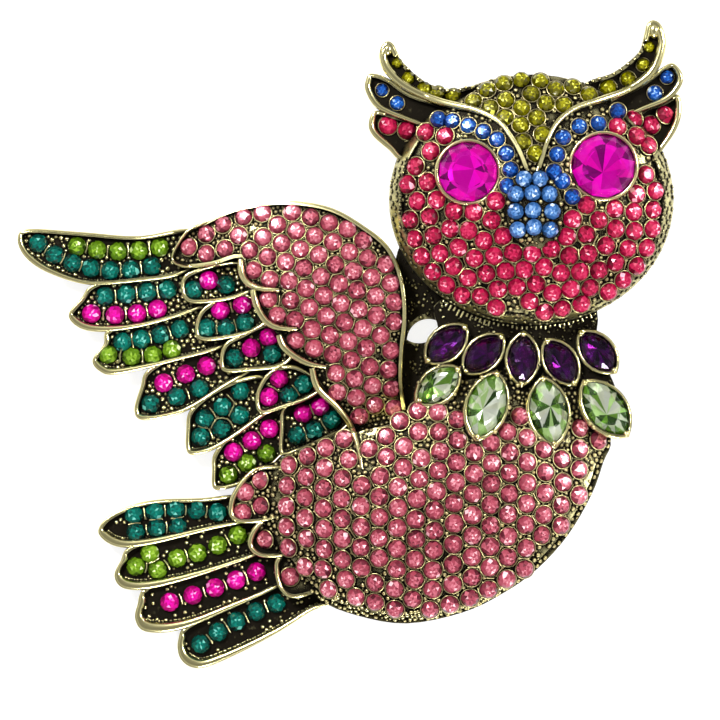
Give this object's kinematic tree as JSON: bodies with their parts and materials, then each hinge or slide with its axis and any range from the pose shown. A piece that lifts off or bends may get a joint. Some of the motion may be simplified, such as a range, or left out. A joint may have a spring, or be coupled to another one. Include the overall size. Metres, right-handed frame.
{
  "type": "figural owl brooch",
  "caption": "Owl brooch of antique gold metal, spread wing and tail, domed head, paved with faceted glass stones, hidden pin behind.",
  "frame": {"origin": "middle of the brooch's box on its flat back, where it lies on a surface", "axes": "+Z towards the jewelled front, +Y up the owl, +X to the right as the picture shows it"},
  "size_m": [0.0664, 0.0647, 0.0119],
  "materials": {
    "antique_gold": "antique gold plate, dark in the recesses",
    "pin_metal": "plain plated steel",
    "stone_fuchsia": "cut, foil-backed",
    "stone_purple": "cut, foil-backed",
    "stone_pale_green": "cut, foil-backed",
    "stone_teal": "cut, foil-backed",
    "stone_green": "cut, foil-backed",
    "stone_rose": "cut, foil-backed",
    "stone_blue": "cut, foil-backed",
    "stone_light_blue": "cut, foil-backed",
    "stone_olive": "cut, foil-backed",
    "stone_crimson": "cut, foil-backed"
  },
  "bodies": {
    "root": {"casting": "antique_gold", "pin_back": "pin_metal", "eye_stone_left": "stone_fuchsia", "eye_stone_right": "stone_fuchsia", "collar_purple_1": "stone_purple", "collar_purple_2": "stone_purple", "collar_purple_3": "stone_purple", "collar_purple_4": "stone_purple", "collar_purple_5": "stone_purple", "collar_green_1": "stone_pale_green", "collar_green_2": "stone_pale_green", "collar_green_3": "stone_pale_green", "collar_green_4": "stone_pale_green", "wing_stones_teal": "stone_teal", "wing_stones_green": "stone_green", "wing_stones_fuchsia": "stone_fuchsia", "shoulder_stones": "stone_rose", "tail_stones_teal": "stone_teal", "tail_stones_green": "stone_green", "tail_stones_fuchsia": "stone_fuchsia", "brow_stones": "stone_blue", "beak_stones": "stone_light_blue", "crown_stones": "stone_olive"}
  },
  "joints": []
}
